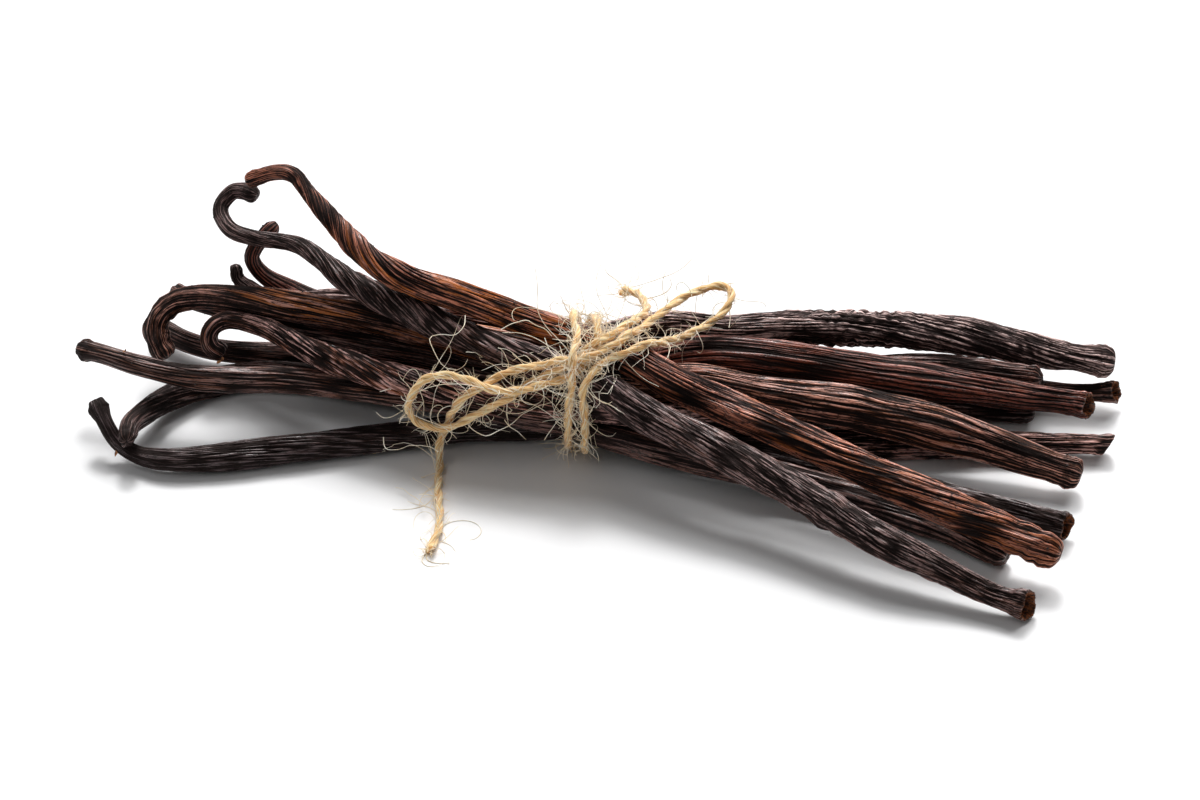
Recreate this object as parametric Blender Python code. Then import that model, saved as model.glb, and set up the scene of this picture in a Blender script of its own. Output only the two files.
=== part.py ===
# A bundle of eleven cured vanilla pods, tied round its middle with one length of jute twine.
# The pods lie along X, with their stem ends at -X and their cut blossom ends at +X,
# and rest on the floor at Z = 0. The origin is on the floor, under the middle of the pods.
# Sizes and places are in millimetres; they become metres where a mesh or a curve is made.

import math

import bmesh
import bpy
import numpy as np

MM = 0.001

# The tie's middle in plan. Every point below is measured from here.
TIE_AT = (-1.2, 5.0)

# Pods: how finely they are made, how much the tie pinches them, and the gaps that they keep.
POD_SIDES = 10
RING_STEP = 7.0
RING_BEND = math.radians(11.0)
SAMPLES = 96
TIE_PINCH = 0.08
TIE_PINCH_REACH = 7.0
POD_GAP = 0.45
FLOOR_GAP = 0.02
SPREAD_ROUNDS = 260
FREE_ROUNDS = 12
SPREAD_REACH = 5.0
LOOK_ABOUT = 3.0

# Where a pod changes along its length: the knob at its stem end, the narrowing before its
# blossom end, and the flare at that end.
KNOB_LENGTH = 2.2
NECK_LENGTH = 26.0
FLARE_LENGTH = 2.6
RIM = 0.74
CUP_FLOOR = 0.8

# Twine: its thickness, the gap that it keeps, and how far apart its tube's points stand.
TWINE = 1.6
TWINE_GAP = 0.55
STRAND_GAP = 0.4
TWINE_FINE = 1.5
TWINE_STEP = 7.5
TWINE_BEND = math.radians(23.0)
SETTLE_ROUNDS = 120
SETTLE_REACH = 2.2

# The two turns round the bundle, each going over the top, down the back, underneath and up
# the front. A turn is given by where along the bundle it begins and ends. The second turn
# crosses over the first at the back.
TURN_SKEW = math.radians(10.0)
TURN_FROM = math.radians(-10.0)
TURN_TO = math.radians(280.0)
TURN_POINTS = 25
TURN_SETTLED = math.radians(200.0)
FIRST_TURN = (2.3, -3.2)
SECOND_TURN = (-2.1, 0.0)
CROSSING_AT = math.radians(108.0)
CROSSING_REACH = math.radians(50.0)

# Each pod: the points that its middle line runs through, from the stem end to the blossom end,
# and its diameters. It stays slim for the distance "slim" from the stem end and is full width at
# "grown". "body" gives its width left and right of the tie, "bulge" gives where it is wider, over
# what reach and by how much, and "cup" is the depth of the hollow in an open end.
PODS = [
    dict(
        name="pod_01",
        spine=[
            (-68.5, 18, 40), (-64, 19, 41.5), (-60.5, 19, 41.5), (-57, 16.5, 39.5), (-50.5, 11, 36.5),
            (-40, 4.5, 32), (-22.5, 2.5, 26.5), (-10.5, 2, 23.5), (0, 1, 20.5), (11.5, -2.5, 19),
            (23, -6, 17.5), (43, -13, 14.5), (61.5, -19.5, 11.5), (79.5, -25, 8.5), (91, -28.5, 7),
        ],
        knob=3.2, stalk=2.7, grown=46, body=(5.7, 6.8), neck=5.8, tip=5.6, cup=0,
        colour=(0.05, 0.02, 0.012),
    ),
    dict(
        name="pod_02",
        spine=[
            (-69.5, 21.5, 34.5), (-73, 22, 34.5), (-75.5, 19, 32), (-72.5, 15, 30), (-68, 14.5, 29),
            (-59.5, 15.5, 27.5), (-46.5, 7.5, 25.5), (-36.5, 3.5, 24), (-22, 0, 21.5), (-10, -3.5, 20),
            (1.5, -7, 18.5), (12.5, -12.5, 17), (24.5, -17, 15), (38.5, -22.5, 12.5), (59.5, -32, 8.5),
            (72, -36, 6), (80.5, -38.5, 4), (87, -40, 3.5),
        ],
        knob=3.3, stalk=2.7, slim=22, grown=58, body=(6.2, 6.4), neck=3.8, tip=5.4, cup=2.2,
        colour=(0.032, 0.018, 0.016),
    ),
    dict(
        name="pod_03",
        spine=[
            (-66, 21.5, 27), (-67.5, 19, 26), (-69, 16, 23.5), (-68, 15.5, 20.5), (-65, 14.5, 18),
            (-59, 15, 15.5), (-33.5, 14, 12.5), (-12.5, 10, 11), (-1.5, 9.5, 11), (8.5, 11.5, 11),
            (25, 11.5, 13.5), (38, 12, 14), (55, 13.5, 12.5), (79, 17, 9), (94.5, 18, 7),
        ],
        knob=3.0, stalk=2.5, grown=44, body=(5.6, 7.2), neck=5.2, tip=5.2, cup=1.8,
        colour=(0.03, 0.015, 0.011),
    ),
    dict(
        name="pod_04",
        spine=[
            (-72, 14.5, 21), (-71.5, 13.5, 19), (-68, 12.5, 17.5), (-59, 13, 16.5), (-32.5, 12, 17.5),
            (-12, 8, 18), (-1, 8.5, 17.5), (10, 16, 15), (25, 19, 15), (38.5, 22, 15.5),
            (53.5, 25.5, 14.5), (72, 28.5, 12.5), (86, 29.5, 10), (97, 30, 9),
        ],
        knob=2.4, stalk=2.0, grown=38, body=(5.4, 6.4), bulge=(66, 20, 0.8), neck=6.0, tip=5.8, cup=0,
        colour=(0.026, 0.014, 0.012),
    ),
    dict(
        name="pod_05",
        spine=[
            (-84, 3, 7.5), (-86, 4.5, 10), (-86, 7, 13), (-83.5, 9.5, 15), (-78.5, 10.5, 16.5),
            (-68, 9.5, 17.5), (-53, 7, 19), (-37, 5.5, 18.5), (-23, 4.5, 17), (-11, 2.5, 16.5),
            (0, 0, 16), (10.5, -0.5, 15), (22.5, 0, 14.5), (50.5, 2, 12), (74.5, 1.5, 8),
            (93.5, -1, 4.5),
        ],
        knob=4.4, stalk=4.3, grown=40, body=(5.8, 7.4), bulge=(61, 22, 1.2), neck=5.8, tip=5.3, cup=0,
        colour=(0.048, 0.02, 0.013),
    ),
    dict(
        name="pod_06",
        spine=[
            (-86, 19, 11), (-80, 15, 12), (-67, 12, 12), (-32, 7, 12), (-11.5, 4, 12.5), (-0.5, 3, 13),
            (10, 5, 10.5), (24, 9.5, 7.5), (39.5, 15, 8), (59, 20, 9.5), (84.5, 22, 8.5),
        ],
        knob=3.6, stalk=3.4, grown=30, body=(5.4, 6.0), neck=4.6, tip=4.6, cup=0,
        colour=(0.04, 0.017, 0.012),
    ),
    dict(
        name="pod_07",
        spine=[
            (-90, 17, 3.5), (-80, 12, 3.5), (-67.5, 11.5, 3.5), (-53.5, 12, 3.5), (-33, 10.5, 4),
            (-12, 5.5, 5.5), (-1, 4.5, 6), (9.5, 8.5, 5.5), (39, 19.5, 3.5), (77.5, 25.5, 3),
            (93, 26, 4), (99.5, 27, 4.5),
        ],
        knob=3.8, stalk=4.0, grown=30, body=(5.2, 5.8), neck=3.0, tip=4.2, cup=1.6,
        colour=(0.03, 0.015, 0.012),
    ),
    dict(
        name="pod_08",
        spine=[
            (-72.5, 2, 10), (-74.5, 2.5, 11.5), (-74.5, 4, 14), (-72, 6.5, 15.5), (-68, 6.5, 16),
            (-64, 4.5, 16), (-55, -1.5, 16), (-46, -5.5, 16), (-30.5, -9, 15.5), (-9, -8.5, 13.5),
            (1.5, -8, 13), (11.5, -5.5, 11.5), (22.5, -2, 8.5), (41, 1, 4), (56, 4, 3),
            (81, 8.5, 3), (99, 11.5, 3),
        ],
        knob=3.4, stalk=3.1, slim=10, grown=38, body=(5.2, 5.4), neck=3.8, tip=4.2, cup=0,
        colour=(0.034, 0.017, 0.013),
    ),
    dict(
        name="pod_09",
        spine=[
            (-97, -6.5, 13.5), (-92.5, -7.5, 13.5), (-85, -8.5, 12.5), (-73.5, -9, 11.5),
            (-54.5, -6, 11), (-34.5, -6.5, 10.5), (-9.5, -6, 9), (1, -7, 8), (12, -7, 6.5),
            (22.5, -9, 5.5), (43, -12, 4), (70, -19.5, 3), (81.5, -25.5, 3),
        ],
        knob=4.3, stalk=3.3, grown=30, body=(4.8, 5.6), neck=4.8, tip=4.8, cup=0,
        colour=(0.036, 0.018, 0.014),
    ),
    dict(
        name="pod_10",
        spine=[
            (-83.5, -25, 7), (-84.5, -21, 6.5), (-83.5, -14.5, 5.5), (-81, -7, 4), (-75.5, 0.5, 3),
            (-64, 5.5, 3), (-37, 3.5, 4.5), (-10.5, -1, 8.5), (0, -1, 10), (10.5, 2, 7.5), (25, 7, 4.5),
            (59.5, 17, 3), (83.5, 19.5, 3),
        ],
        knob=3.4, stalk=3.9, grown=34, body=(5.4, 5.4), neck=5.0, tip=4.6, cup=0,
        colour=(0.028, 0.015, 0.012),
    ),
    dict(
        name="pod_11",
        spine=[
            (-91, -18, 9), (-88.5, -20.5, 7.5), (-85.5, -22, 4.5), (-81.5, -23.5, 3), (-77.5, -24.5, 3),
            (-71.5, -23.5, 3), (-52, -16, 3), (-30.5, -8.5, 3.5), (-10.5, -2.5, 5), (0.5, -2.5, 6),
            (11, -3, 5.5), (42, -6, 4), (69.5, -10.5, 3.5), (92.5, -16, 3.5),
        ],
        knob=3.9, stalk=2.7, slim=4, grown=36, body=(5.4, 5.4), neck=4.8, tip=5.0, cup=2.0,
        colour=(0.024, 0.013, 0.011),
    ),
]

# The twine's free stretches, in the order that it runs: from the cut end behind the bundle through
# the knot and round the left loop to the first turn; the band over the knot, between the turns;
# and from the second turn round the right loop, through the knot, to the cut end on the floor.
TAIL_AND_LEFT_LOOP = [
    (3, 22, 20), (5, 20.5, 21), (7, 18.5, 22), (9, 14.5, 23), (10, 9.5, 24), (9, 4.5, 25.5), (7, 0, 26),
    (5.5, -3, 26), (3.5, -4.5, 26), (1.5, -5.5, 24.5), (0, -7.5, 23.5), (-2.5, -9, 22.5),
    (-5.5, -10, 21), (-9.5, -10.5, 18.5), (-12, -12, 17), (-15, -12.5, 15), (-18, -13, 13),
    (-21, -13.5, 11), (-24, -13.5, 9.5), (-27, -13.5, 9), (-30, -13.5, 10), (-31.5, -13, 12.5),
    (-30.5, -13.5, 16), (-28.5, -12.5, 19), (-24.5, -11.5, 20), (-20.5, -11.5, 19.5), (-18, -12, 19),
    (-15.5, -12.5, 18.5), (-11.5, -12.5, 18.5), (-8, -12, 19.5), (-4, -11, 21), (-1.5, -10.5, 21.5),
    (0, -9, 22), (2, -6, 22.5), (3.5, -3.5, 24),
]
BAND = [
    (-0.5, -11.5, 20.5), (-0.5, -11.5, 22.5), (-0.5, -10.5, 24.5), (-0.5, -9.5, 25.5), (-0.5, -7.5, 26),
    (-0.5, -4.5, 26.5),
]
RIGHT_LOOP_AND_TAIL = [
    (2.5, -11, 21), (3, -10, 22.5), (4, -8, 23), (5.5, -6, 24), (8, -5.5, 24.5), (10, -5, 25.5),
    (12, -3, 25), (13.5, 0, 23.5), (15, 3, 22.5), (17, 6.5, 21), (19, 9.5, 20.5), (22, 13.5, 20.5),
    (24, 16, 21.5), (25, 18.5, 22.5), (24.5, 21.5, 23), (22, 22.5, 23), (20, 22, 22.5), (16.5, 18, 23),
    (13, 11, 23.5), (10, 4, 24.5), (7.5, -2, 25.5), (5, -5, 25), (2.5, -7.5, 24.5), (0.5, -8.5, 24.5),
    (-1, -9, 24), (-3.5, -9, 23.5), (-6, -9, 22.5), (-9, -9, 22), (-14, -9.5, 20), (-17, -10.5, 18),
    (-20, -12, 16.5), (-22, -13, 14.5), (-23.5, -12.5, 11.5), (-24.5, -12, 8.5), (-25.5, -12, 6),
    (-26, -12.5, 3), (-25.5, -14, 1), (-24.5, -20, 1), (-22.5, -28, 1), (-21.5, -33.5, 1),
    (-21.5, -37, 1), (-22, -41, 1),
]


def smooth_curve(points, pieces=16):
    """A smooth line through the points, as closely spaced points (a Hermite spline)."""
    p = np.array(points, float)
    t = np.concatenate(([0.0], np.cumsum(np.linalg.norm(np.diff(p, axis=0), axis=1) ** 0.5)))
    slope = np.gradient(p, t, axis=0)
    line = []
    for i in range(len(p) - 1):
        h = t[i + 1] - t[i]
        u = np.linspace(0.0, 1.0, pieces, endpoint=False)[:, None]
        line.append(
            (2 * u**3 - 3 * u**2 + 1) * p[i]
            + (u**3 - 2 * u**2 + u) * h * slope[i]
            + (3 * u**2 - 2 * u**3) * p[i + 1]
            + (u**3 - u**2) * h * slope[i + 1]
        )
    line.append(p[-1:])
    return np.vstack(line)


def distance_along(line):
    return np.concatenate(([0.0], np.cumsum(np.linalg.norm(np.diff(line, axis=0), axis=1))))


def points_at(line, places):
    """The points at the given distances along a line."""
    s = distance_along(line)
    return np.column_stack([np.interp(places, s, line[:, k]) for k in range(3)])


def evenly(line, count):
    """The same line as a given number of equally spaced points."""
    return points_at(line, np.linspace(0.0, distance_along(line)[-1], count))


def ease(x):
    x = np.clip(x, 0.0, 1.0)
    return x * x * (3 - 2 * x)


def bump(x):
    return np.exp(-(x**2))


def pod_radius(pod, s, length, x):
    """A pod's radius at s along it: knob, stalk, body, pinched waist, neck and flared end."""
    left, right = pod["body"]
    body = left + (right - left) * ease((s / length - 0.3) / 0.4)
    slim = pod.get("slim", 0)
    width = pod["stalk"] + (body - pod["stalk"]) * ease((s - slim) / (pod["grown"] - slim))
    width = width + (pod["knob"] - pod["stalk"]) * bump(s / KNOB_LENGTH)
    width = width * (1 - TIE_PINCH * bump(x / TIE_PINCH_REACH))
    if "bulge" in pod:
        at, reach, more = pod["bulge"]
        width = width + more * bump((x - at) / reach)
    to_end = length - s
    width = width + (pod["neck"] - width) * (1 - ease(to_end / NECK_LENGTH - 0.15))
    width = width + (pod["tip"] - pod["neck"]) * bump(to_end / FLARE_LENGTH)
    return width / 2


def pod_radii(line, pod):
    s = distance_along(line)
    return pod_radius(pod, s, s[-1], line[:, 0])


def smoothed(move, step, reach):
    """A line's movement, averaged over its neighbours within reach along the line."""
    beside = int(math.ceil(2.4 * reach / step))
    kernel = bump(np.arange(-beside, beside + 1) * step / reach)
    kernel /= kernel.sum()
    padded = np.pad(move, ((beside, beside), (0, 0)), mode="edge")
    return np.column_stack([np.convolve(padded[:, k], kernel, mode="valid") for k in range(3)])


def spread_pods(lines, radii):
    """Moves the pods' lines until no two pods touch and none is under the floor."""
    count, samples, _ = lines.shape
    owner = np.repeat(np.arange(count), samples)
    r = radii.reshape(-1)
    here = lines.reshape(-1, 3).copy()
    step = distance_along(lines[0])[-1] / (samples - 1)
    for turn in range(SPREAD_ROUNDS):
        if turn % 10 == 0:
            apart = np.linalg.norm(here[:, None] - here[None], axis=2)
            near = (apart < r[:, None] + r[None] + LOOK_ABOUT) & (owner[:, None] < owner[None])
            first, second = np.nonzero(near)
        way = here[second] - here[first]
        apart = np.linalg.norm(way, axis=1)
        want = r[first] + r[second] + POD_GAP
        push = np.maximum(want - apart, 0.0)[:, None] * way / apart[:, None] * 0.5
        move = np.zeros_like(here)
        hits = np.zeros(len(here))
        np.add.at(move, first, -push)
        np.add.at(move, second, push)
        np.add.at(hits, first, push.any(axis=1))
        np.add.at(hits, second, push.any(axis=1))
        move /= np.maximum(hits, 1.0)[:, None] ** 0.5
        move[:, 2] += np.maximum(r + FLOOR_GAP - here[:, 2], 0.0)
        if turn < SPREAD_ROUNDS - FREE_ROUNDS:
            for k in range(count):
                rows = slice(k * samples, (k + 1) * samples)
                move[rows] = smoothed(move[rows], step, SPREAD_REACH) * 1.5
        here += move
    return here.reshape(count, samples, 3)


def taut_turn(lines, radii, begins, ends, ride):
    """One turn of twine, pulled tight round the pods; ride lifts it where it crosses another."""
    along = np.array((math.cos(TURN_SKEW), math.sin(TURN_SKEW), 0.0))
    back = np.array((-math.sin(TURN_SKEW), math.cos(TURN_SKEW), 0.0))
    up = np.array((0.0, 0.0, 1.0))
    points = []
    for angle in np.linspace(TURN_FROM, TURN_TO, TURN_POINTS):
        x = begins + (ends - begins) * ease(angle / TURN_SETTLED)
        outward = math.sin(angle) * back + math.cos(angle) * up
        farthest = None
        for line, radius in zip(lines, radii):
            place = line @ along
            middle = np.array([np.interp(x, place, line[:, k]) for k in range(3)])
            r = np.interp(x, place, radius)
            reach = float(middle @ outward) + r
            if farthest is None or reach > farthest:
                farthest = reach
                stand = r + TWINE / 2 + TWINE_GAP + ride * bump((angle - CROSSING_AT) / CROSSING_REACH)
                point = middle + outward * stand
        points.append(point)
    return points


def settle_twine(line, lines, radii):
    """Moves the twine's line until it clears the pods, the floor and its own other strands."""
    pods = lines.reshape(-1, 3)
    clear_of_pods = radii.reshape(-1) + TWINE / 2 + TWINE_GAP
    count = len(line)
    step = distance_along(line)[-1] / (count - 1)
    number = np.arange(count)
    elsewhere = np.abs(number[:, None] - number[None]) * step > 4 * TWINE
    here = line.copy()
    for turn in range(SETTLE_ROUNDS):
        way = here[:, None] - pods[None]
        apart = np.linalg.norm(way, axis=2)
        short = clear_of_pods[None] - apart
        worst = short.argmax(axis=1)
        short = np.maximum(short[number, worst], 0.0)
        move = way[number, worst] / apart[number, worst][:, None] * short[:, None]
        way = here[:, None] - here[None]
        apart = np.linalg.norm(way, axis=2) + 1e-9
        short = np.where(elsewhere, TWINE + STRAND_GAP - apart, 0.0)
        worst = short.argmax(axis=1)
        short = np.maximum(short[number, worst], 0.0)
        move += way[number, worst] / apart[number, worst][:, None] * short[:, None] * 0.5
        move[:, 2] += np.maximum(TWINE / 2 + FLOOR_GAP - here[:, 2] - move[:, 2], 0.0)
        if turn < SETTLE_ROUNDS - FREE_ROUNDS:
            move = smoothed(move, step, SETTLE_REACH)
        here += move
    return here


def twine_line(lines, radii):
    """The twine's whole line, end to end."""
    route = (
        TAIL_AND_LEFT_LOOP
        + taut_turn(lines, radii, *FIRST_TURN, 0.0)
        + BAND
        + taut_turn(lines, radii, *SECOND_TURN, TWINE + STRAND_GAP)
        + RIGHT_LOOP_AND_TAIL
    )
    smooth = smooth_curve(route)
    count = int(distance_along(smooth)[-1] / TWINE_FINE)
    return settle_twine(evenly(smooth, count), lines, radii)


def stations(line, begin, end, step, bend):
    """Places along a line between begin and end: every step, and sooner where it bends."""
    s = distance_along(line)
    heading = np.diff(line, axis=0) / np.diff(s)[:, None]
    turns = np.arccos(np.clip((heading[1:] * heading[:-1]).sum(axis=1), -1.0, 1.0))
    turns = np.concatenate(([0.0], turns))
    found = [begin]
    turned = 0.0
    for place, turn in zip(s, turns):
        turned += turn
        far = place - found[-1]
        if far >= step or (turned >= bend and far >= TWINE_FINE):
            if place > end - TWINE_FINE:
                break
            found.append(float(place))
            turned = 0.0
    return found + [end]


def frames_along(points):
    """Two crosswise directions at each point, carried along the line without twisting."""
    heading = np.gradient(points, axis=0)
    heading /= np.linalg.norm(heading, axis=1)[:, None]
    side = np.cross(heading[0], (0.3, 0.2, 1.0))
    sides = []
    for h in heading:
        side = side - h * float(side @ h)
        side = side / np.linalg.norm(side)
        sides.append(side)
    sides = np.array(sides)
    return sides, np.cross(heading, sides)


def loft(name, rings):
    """A closed skin over a row of rings that all have the same number of points."""
    bm = bmesh.new()
    rows = [[bm.verts.new(p * MM) for p in ring] for ring in rings]
    count = len(rows[0])
    for low, high in zip(rows, rows[1:]):
        for k in range(count):
            n = (k + 1) % count
            bm.faces.new((low[k], low[n], high[n], high[k]))
    bm.faces.new(list(reversed(rows[0])))
    bm.faces.new(rows[-1])
    bmesh.ops.triangulate(bm, faces=bm.faces[:])
    bmesh.ops.recalc_face_normals(bm, faces=bm.faces[:])
    mesh = bpy.data.meshes.new(name)
    bm.to_mesh(mesh)
    bm.free()
    mesh.shade_smooth()
    mesh.set_sharp_from_angle(angle=math.radians(50.0))
    return bpy.data.objects.new(name, mesh)


def build_pod(pod, line, tie):
    length = distance_along(line)[-1]
    places = [0.0, 1.2] + stations(line, 3.0, length - 6.0, RING_STEP, RING_BEND)
    places = np.array(places + [length - 3.2, length - 1.4, length])
    points = points_at(line, places)
    radius = pod_radius(pod, places, length, points[:, 0])
    points = points + tie
    across, up = frames_along(points)
    angle = np.arange(POD_SIDES)[:, None] * 2 * math.pi / POD_SIDES
    rings = [
        point + r * (np.cos(angle) * a + np.sin(angle) * u)
        for point, r, a, u in zip(points, radius, across, up)
    ]
    if pod["cup"]:
        middle = points[-1]
        inward = points[-2] - middle
        inward /= np.linalg.norm(inward)
        rings.append(middle + (rings[-1] - middle) * RIM)
        rings.append(middle + (rings[-1] - middle) * CUP_FLOOR + inward * pod["cup"])
    return loft(pod["name"], rings)


def build_twine(line, tie):
    length = distance_along(line)[-1]
    points = points_at(line, stations(line, 0.0, length, TWINE_STEP, TWINE_BEND)) + tie
    curve = bpy.data.curves.new("twine", "CURVE")
    curve.dimensions = "3D"
    curve.bevel_depth = TWINE / 2 * MM
    curve.bevel_resolution = 2
    curve.use_fill_caps = True
    spline = curve.splines.new("POLY")
    spline.points.add(len(points) - 1)
    for place, point in zip(spline.points, points):
        place.co = (*(point * MM), 1.0)
    return bpy.data.objects.new("twine", curve)


def material(name, colour, roughness):
    made = bpy.data.materials.new(name)
    made.use_nodes = True
    shader = made.node_tree.nodes["Principled BSDF"]
    shader.inputs["Base Color"].default_value = (*colour, 1.0)
    shader.inputs["Roughness"].default_value = roughness
    shader.inputs["Metallic"].default_value = 0.0
    made.diffuse_color = (*colour, 1.0)
    return made


def empty_scene():
    for thing in list(bpy.data.objects):
        bpy.data.objects.remove(thing, do_unlink=True)


def new_collection(name):
    made = bpy.data.collections.new(name)
    bpy.context.scene.collection.children.link(made)
    return made


def main():
    empty_scene()
    bundle = new_collection("vanilla_pod_bundle")
    tie = np.array((*TIE_AT, 0.0))
    lines = np.array([evenly(smooth_curve(pod["spine"]), SAMPLES) for pod in PODS])
    radii = np.array([pod_radii(line, pod) for line, pod in zip(lines, PODS)])
    lines = spread_pods(lines, radii)
    for pod, line in zip(PODS, lines):
        thing = build_pod(pod, line, tie)
        thing.data.materials.append(material(pod["name"] + "_skin", pod["colour"], 0.42))
        bundle.objects.link(thing)
    twine = build_twine(twine_line(lines, radii), tie)
    twine.data.materials.append(material("jute", (0.62, 0.42, 0.2), 0.9))
    bundle.objects.link(twine)


main()
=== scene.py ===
import math

import bmesh
import bpy
import mathutils
import numpy as np
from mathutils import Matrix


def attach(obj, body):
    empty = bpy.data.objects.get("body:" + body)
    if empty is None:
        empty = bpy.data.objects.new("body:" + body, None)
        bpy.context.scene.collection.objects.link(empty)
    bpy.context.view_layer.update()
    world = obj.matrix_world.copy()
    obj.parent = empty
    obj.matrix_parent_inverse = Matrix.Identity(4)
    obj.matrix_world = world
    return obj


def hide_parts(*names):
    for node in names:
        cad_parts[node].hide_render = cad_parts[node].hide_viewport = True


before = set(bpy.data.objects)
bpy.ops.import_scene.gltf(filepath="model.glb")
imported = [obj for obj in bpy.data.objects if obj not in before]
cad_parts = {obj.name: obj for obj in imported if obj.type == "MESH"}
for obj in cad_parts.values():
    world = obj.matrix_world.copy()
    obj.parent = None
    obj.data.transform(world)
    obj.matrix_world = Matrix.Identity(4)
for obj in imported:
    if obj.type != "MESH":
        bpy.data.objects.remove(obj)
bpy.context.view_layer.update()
mm = 0.001


def addObject(name, data):
    made = bpy.data.objects.new(name, data)
    bpy.context.scene.collection.objects.link(made)
    return made


def meshObject(name, bm):
    mesh = bpy.data.meshes.new(name)
    bm.to_mesh(mesh)
    bm.free()
    return addObject(name, mesh)


cameraLooks = dict(
    place=(86.2, -474.4, 363.1),
    tilt=54.0,  # degrees up from looking straight down
    turn=10.0,
    lens=94.74, sensor=36.0, nearest=10.0,
)


def addCamera():
    look = cameraLooks
    data = bpy.data.cameras.new("camera")
    data.lens = look["lens"]
    data.sensor_width = look["sensor"]
    data.clip_start = look["nearest"] * mm
    camera = addObject("camera", data)
    camera.location = [c * mm for c in look["place"]]
    camera.rotation_euler = (math.radians(look["tilt"]), 0.0, math.radians(look["turn"]))
    bpy.context.scene.camera = camera


addCamera()
print("camera placed")

# The tie's middle in plan; the points of the pods and the twine are measured from it.
tieAt = np.array((-1.2, 5.0, 0.0))

# What each pod has unless its own entry in the list says otherwise.
usualPod = dict(
    slim=0, bulge=(0, 1, 0), folds=(5, 0.3), twists=[], crossFolds=[], rings=[], lumps=[],
    # dark is the painted shade of the creases, where the skin lies low between the ridges
    stemEnd="button", blossomEnd="button", cutBack=(0, 0, 0), dark=(0.0015, 0.0009, 0.0009),
)
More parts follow.
